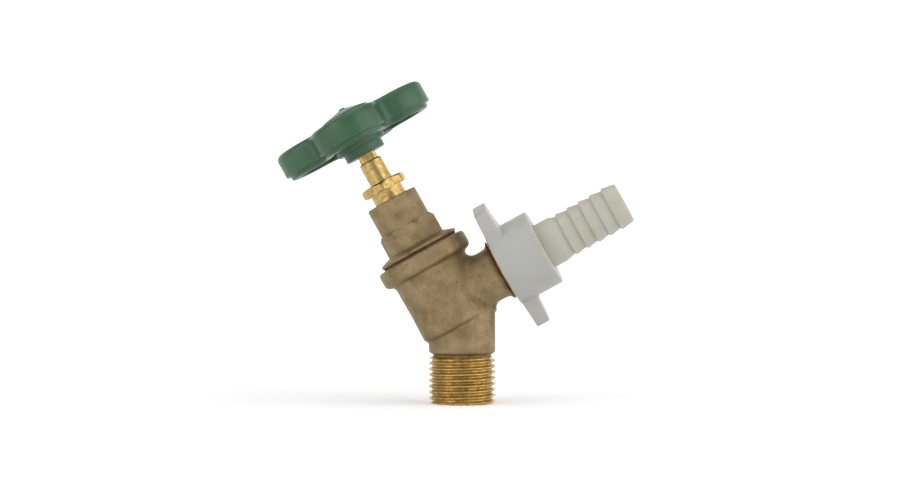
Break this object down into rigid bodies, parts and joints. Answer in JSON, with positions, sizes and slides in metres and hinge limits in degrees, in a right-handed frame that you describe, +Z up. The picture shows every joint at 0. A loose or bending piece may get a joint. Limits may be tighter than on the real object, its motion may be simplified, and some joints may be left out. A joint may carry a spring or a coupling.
{
  "type": "hose tap",
  "caption": "Angled screw-down hose tap with a threaded inlet, leaning bonnet and lobed handwheel, and a barbed hose tail held by a winged union nut.",
  "frame": {"origin": "centre of the inlet thread's end face", "axes": "+Z up along the inlet axis into the tap, +X towards the outlet side, bonnet and outlet axes in the XZ plane"},
  "size_m": [0.1119, 0.0512, 0.101],
  "materials": {
    "cast_brass": "sand-cast, matte, olive brown",
    "bright_brass": "machined, bright",
    "green_plastic": "moulded, softly glossy dark green",
    "white_plastic": "moulded, translucent white",
    "cream_plastic": "moulded, natural cream",
    "packing": "soft white packing",
    "rubber": "matte black",
    "fibre": "matte red-brown fibre",
    "steel": "zinc plated"
  },
  "bodies": {
    "tap_body": {"body": "cast_brass", "bonnet_washer": "fibre", "bonnet": "cast_brass", "packing_washer": "bright_brass", "gland_packing": "packing", "gland_nut": "bright_brass"},
    "valve": {"jumper": "bright_brass", "valve_washer": "rubber", "washer_nut": "bright_brass"},
    "spindle_group": {"spindle": "bright_brass", "handwheel": "green_plastic", "wheel_washer": "steel", "wheel_screw": "steel", "wheel_cap": "green_plastic"},
    "tail_group": {"hose_tail": "cream_plastic", "union_washer": "rubber"},
    "nut_group": {"union_nut": "white_plastic"}
  },
  "joints": [
    {"name": "valve_lift", "type": "slide", "parent": "tap_body", "child": "valve", "axis": [-0.4848, 0, 0.8746], "range_m": [0, 0.005]},
    {"name": "spindle_turn", "type": "hinge", "parent": "valve", "child": "spindle_group", "pos_m": [0, 0, 0.0237], "axis": [-0.4848, 0, 0.8746], "range_deg": [0, 720]},
    {"name": "tail_withdraw", "type": "slide", "parent": "tap_body", "child": "tail_group", "axis": [0.8746, 0, 0.4848], "range_m": [0, 0.00907]},
    {"name": "union_nut_turn", "type": "hinge", "parent": "tail_group", "child": "nut_group", "pos_m": [-0.0048, 0, 0.03236], "axis": [0.8746, 0, 0.4848], "range_deg": [0, 1800]}
  ],
  "couplings": [
    {"joint": "spindle_turn", "follows": "valve_lift", "rad_per_m": 2513.3},
    {"joint": "union_nut_turn", "follows": "tail_withdraw", "rad_per_m": 3463.7}
  ]
}
